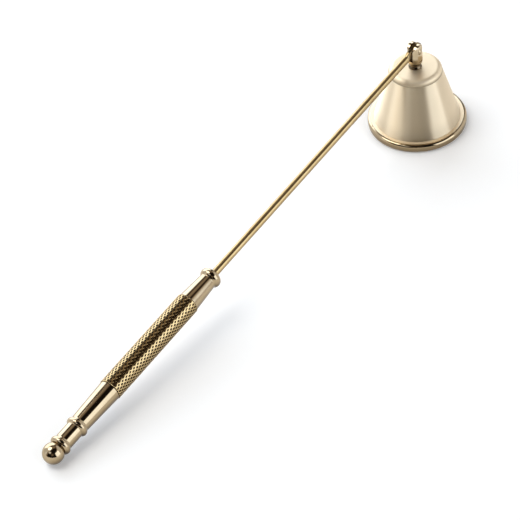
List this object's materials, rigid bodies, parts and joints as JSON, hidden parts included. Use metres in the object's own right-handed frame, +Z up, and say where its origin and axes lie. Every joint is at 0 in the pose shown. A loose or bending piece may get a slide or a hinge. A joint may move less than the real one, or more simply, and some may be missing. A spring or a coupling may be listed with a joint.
{
  "type": "candle snuffer",
  "caption": "Long-handled candle snuffer: a flared metal bell hinged to a thin rod, with a knurled grip, turned beads and a ball end.",
  "frame": {"origin": "middle of the overall length and width, on the floor plane that the bell's rim and the ball rest on", "axes": "+X from the ball to the bell along the handle, +Y along the hinge axis, +Z up"},
  "size_m": [0.2484, 0.04, 0.0396],
  "materials": {
    "satin_bell": "satin cone with a polished cap and rim",
    "polished_bell_fittings": "polished",
    "rivet": "polished",
    "inner_fixings": "turned",
    "polished_rod": "polished",
    "polished_handle": "polished",
    "knurled_brass": "knurled, bright on the crests and dark in the grooves"
  },
  "bodies": {
    "handle": {"stem_rod": "polished_rod", "stem_ferrule": "polished_handle", "knurled_grip": "knurled_brass", "tail_turning": "polished_handle", "ball_finial": "polished_handle", "core_stud": "inner_fixings", "finial_stud": "inner_fixings"},
    "bell": {"bell_shell": "satin_bell", "bell_post": "polished_bell_fittings", "hinge_rivet": "rivet", "post_washer": "inner_fixings", "post_screw": "inner_fixings"}
  },
  "joints": [
    {"name": "bell_swing", "type": "hinge", "parent": "handle", "child": "bell", "pos_m": [0.10425, 0, 0.03662], "axis": [0, 1, 0], "range_deg": [-217.5, 21]}
  ]
}
